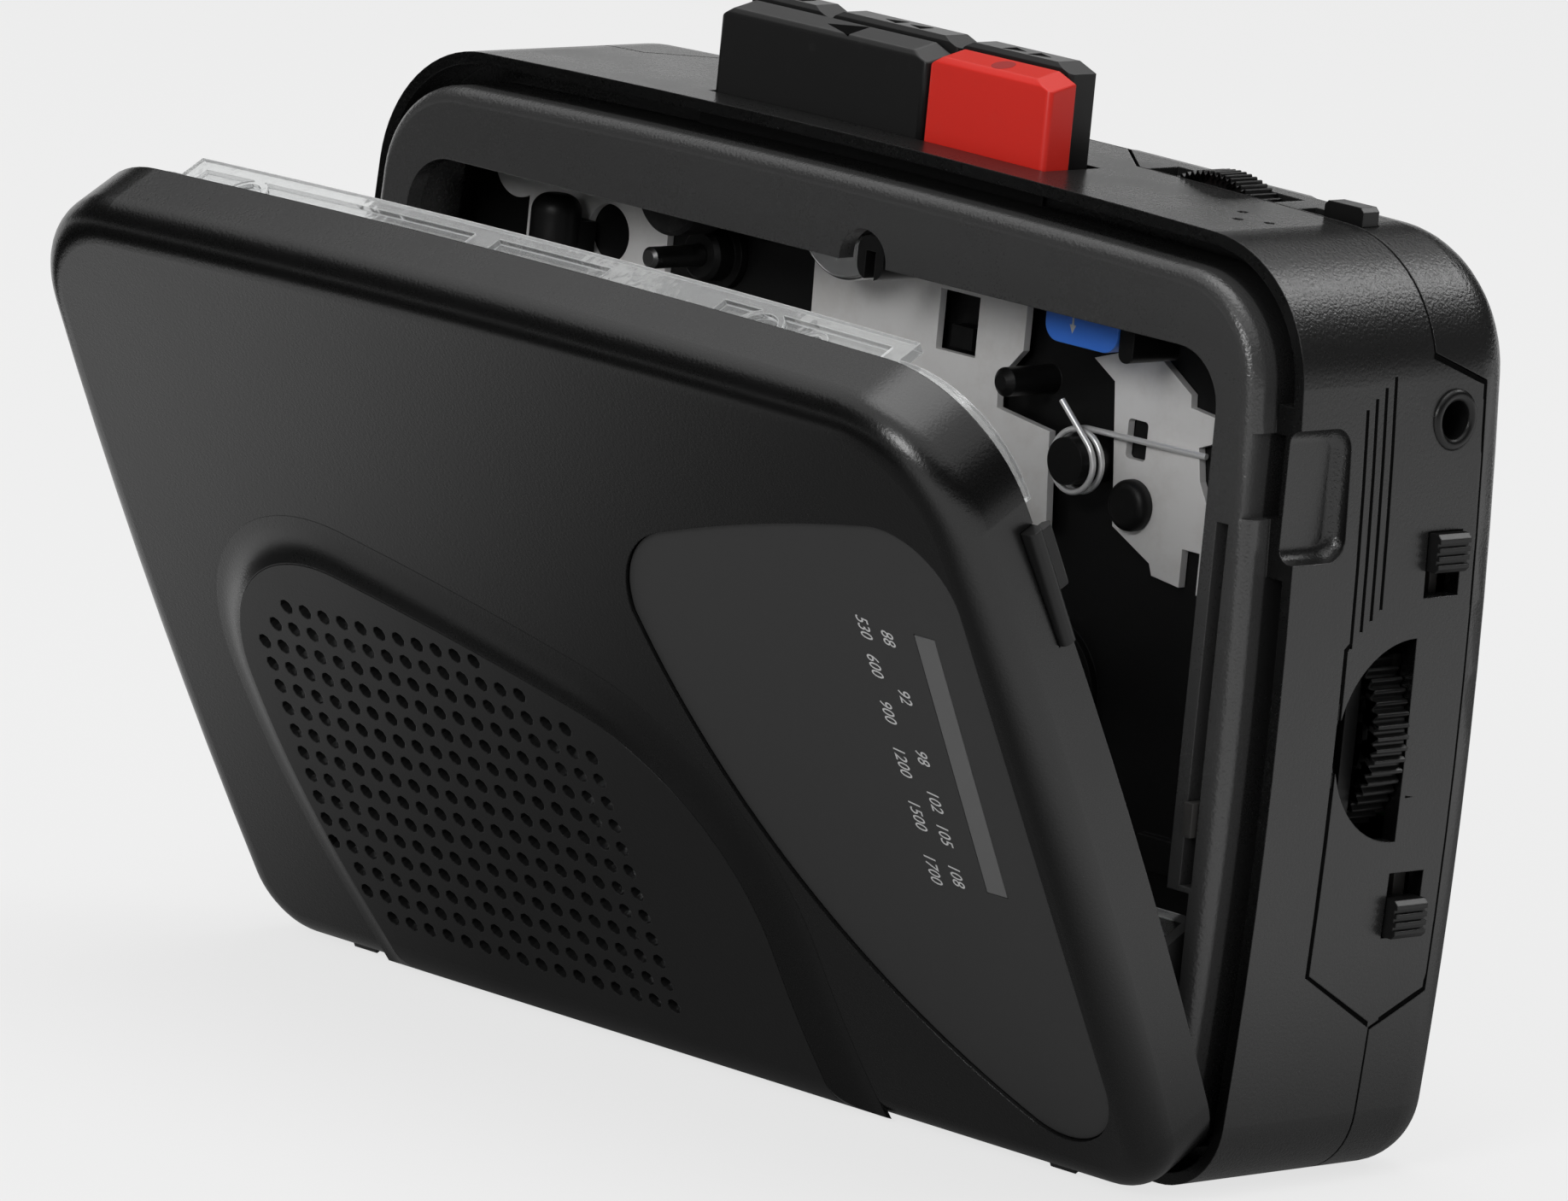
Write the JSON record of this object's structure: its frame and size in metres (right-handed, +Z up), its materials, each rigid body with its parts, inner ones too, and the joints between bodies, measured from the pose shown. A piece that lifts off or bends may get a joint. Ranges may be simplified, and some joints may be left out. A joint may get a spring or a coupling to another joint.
{
  "type": "portable cassette recorder",
  "caption": "Pocket radio cassette recorder with its front door hinged open on the tape deck, a speaker grille and dial on the door, and piano keys, wheels and switches on the case.",
  "frame": {"origin": "on the case's flat base, under the middle of its width and depth", "axes": "+X to the right seen from the front, +Y to the rear, +Z up"},
  "size_m": [0.119, 0.0729, 0.0922],
  "materials": {
    "black_plastic": "fine moulded grain, satin",
    "dial_black": "smooth satin lens",
    "smoked_window": "smoked clear strip",
    "clear_plastic": "clear moulding",
    "red_plastic": "satin",
    "blue_plastic": "satin",
    "plate_steel": "zinc-plated sheet",
    "bright_steel": "polished",
    "brass": "turned",
    "rubber": "matt",
    "cone_paper": "pressed fibre",
    "cell_jacket": "plain jacket",
    "contact_plate": "nickel-plated strip",
    "component_plastic": "moulded",
    "board": "printed board"
  },
  "bodies": {
    "housing": {"front_housing": "black_plastic", "rear_cover": "black_plastic", "rear_screws": "bright_steel", "battery_tray": "black_plastic", "battery_cells": "cell_jacket", "battery_contacts": "contact_plate", "hinge_pins": "bright_steel", "key_bracket": "black_plastic", "deck": "black_plastic", "side_plate": "plate_steel", "left_plate": "plate_steel", "cassette_guide": "black_plastic", "torsion_spring": "bright_steel", "capstan_bearing": "black_plastic", "drive_belt": "rubber", "motor": "plate_steel", "tuning_capacitor": "component_plastic", "volume_pot": "component_plastic", "source_switch": "component_plastic", "band_switch": "component_plastic", "mode_switch": "component_plastic", "phones_jack": "component_plastic", "microphone": "component_plastic", "circuit_board": "board"},
    "door": {"door_shell": "black_plastic", "speaker_grille": "black_plastic", "speaker_driver": "plate_steel", "speaker_cone": "cone_paper", "dial_panel": "dial_black", "dial_window": "smoked_window", "door_latch": "black_plastic", "cassette_holder": "clear_plastic", "holder_screws": "bright_steel"},
    "heads": {"head_plate": "plate_steel", "tape_head": "bright_steel", "tape_guide": "black_plastic", "erase_head": "blue_plastic", "erase_bracket": "black_plastic"},
    "capstan_rotor": {"capstan": "bright_steel", "flywheel": "brass"},
    "key_stop": {"key_stop": "black_plastic"},
    "key_record": {"key_record": "red_plastic"},
    "key_rewind": {"key_rewind": "black_plastic"},
    "key_forward": {"key_forward": "black_plastic"},
    "key_play": {"key_play": "black_plastic"},
    "pinch_arm": {"pinch_arm": "black_plastic"},
    "pinch_roller": {"pinch_roller": "rubber"},
    "motor_pulley": {"motor_pulley": "brass"},
    "supply_spindle": {"supply_spindle": "black_plastic"},
    "takeup_spindle": {"takeup_spindle": "black_plastic"},
    "tuning_wheel": {"tuning_wheel": "black_plastic"},
    "dial_pointer": {"dial_pointer": "black_plastic"},
    "volume_wheel": {"volume_wheel": "black_plastic"},
    "source_knob": {"source_knob": "black_plastic"},
    "band_knob": {"band_knob": "black_plastic"},
    "mode_knob": {"mode_knob": "black_plastic"},
    "battery_cover": {"battery_cover": "black_plastic"}
  },
  "joints": [
    {"name": "door_hinge", "type": "hinge", "parent": "housing", "child": "door", "pos_m": [0, -0.0161, 0.0045], "axis": [1, 0, 0], "range_deg": [-29.2, 0]},
    {"name": "stop_press", "type": "slide", "parent": "housing", "child": "key_stop", "axis": [0, 0, -1], "range_m": [0, 0.0024], "stiffness_N_per_m": 400},
    {"name": "record_press", "type": "slide", "parent": "housing", "child": "key_record", "axis": [0, 0, -1], "range_m": [0, 0.0024], "stiffness_N_per_m": 400},
    {"name": "rewind_press", "type": "slide", "parent": "housing", "child": "key_rewind", "axis": [0, 0, -1], "range_m": [0, 0.0024], "stiffness_N_per_m": 400},
    {"name": "forward_press", "type": "slide", "parent": "housing", "child": "key_forward", "axis": [0, 0, -1], "range_m": [0, 0.0024], "stiffness_N_per_m": 400},
    {"name": "play_press", "type": "slide", "parent": "housing", "child": "key_play", "axis": [0, 0, -1], "range_m": [0, 0.0024], "stiffness_N_per_m": 1500},
    {"name": "head_slide", "type": "slide", "parent": "housing", "child": "heads", "axis": [0, 0, -1], "range_m": [0, 0.0024], "stiffness_N_per_m": 600},
    {"name": "pinch_swing", "type": "hinge", "parent": "housing", "child": "pinch_arm", "pos_m": [-0.0445, -0.0051, 0.0746], "axis": [0, 1, 0], "range_deg": [0, 2]},
    {"name": "pinch_spin", "type": "hinge", "parent": "pinch_arm", "child": "pinch_roller", "pos_m": [-0.0235, -0.0091, 0.074], "axis": [0, 1, 0], "continuous": true},
    {"name": "capstan_spin", "type": "hinge", "parent": "housing", "child": "capstan_rotor", "pos_m": [-0.0235, -0.0001, 0.0678], "axis": [0, 1, 0], "continuous": true},
    {"name": "motor_spin", "type": "hinge", "parent": "housing", "child": "motor_pulley", "pos_m": [0.032, 0.0009, 0.0185], "axis": [0, 1, 0], "continuous": true},
    {"name": "supply_spin", "type": "hinge", "parent": "housing", "child": "supply_spindle", "pos_m": [0.02125, -0.0051, 0.037], "axis": [0, 1, 0], "continuous": true},
    {"name": "takeup_spin", "type": "hinge", "parent": "housing", "child": "takeup_spindle", "pos_m": [-0.02125, -0.0051, 0.037], "axis": [0, 1, 0], "continuous": true},
    {"name": "tuning_turn", "type": "hinge", "parent": "housing", "child": "tuning_wheel", "pos_m": [0.0491, -0.0001, 0.0397], "axis": [0, 1, 0], "range_deg": [-31, 251]},
    {"name": "pointer_slide", "type": "slide", "parent": "housing", "child": "dial_pointer", "axis": [0, 0, 1], "range_m": [-0.003, 0.024]},
    {"name": "volume_turn", "type": "hinge", "parent": "housing", "child": "volume_wheel", "pos_m": [0.0292, 0.0039, 0.0753], "axis": [0, 1, 0], "range_deg": [-140, 140]},
    {"name": "source_slide", "type": "slide", "parent": "housing", "child": "source_knob", "axis": [0, 0, 1], "range_m": [-0.0022, 0]},
    {"name": "band_slide", "type": "slide", "parent": "housing", "child": "band_knob", "axis": [0, 0, 1], "range_m": [0, 0.0022]},
    {"name": "mode_slide", "type": "slide", "parent": "housing", "child": "mode_knob", "axis": [1, 0, 0], "range_m": [-0.0028, 0]},
    {"name": "battery_cover_off", "type": "slide", "parent": "housing", "child": "battery_cover", "axis": [0, 1, 0], "range_m": [0, 0.015]}
  ],
  "couplings": [
    {"joint": "head_slide", "follows": "play_press", "ratio": 1},
    {"joint": "pinch_swing", "follows": "play_press", "rad_per_m": 13.9},
    {"joint": "motor_spin", "follows": "capstan_spin", "ratio": 3.6667},
    {"joint": "pointer_slide", "follows": "tuning_turn", "m_per_rad": 0.00545}
  ]
}
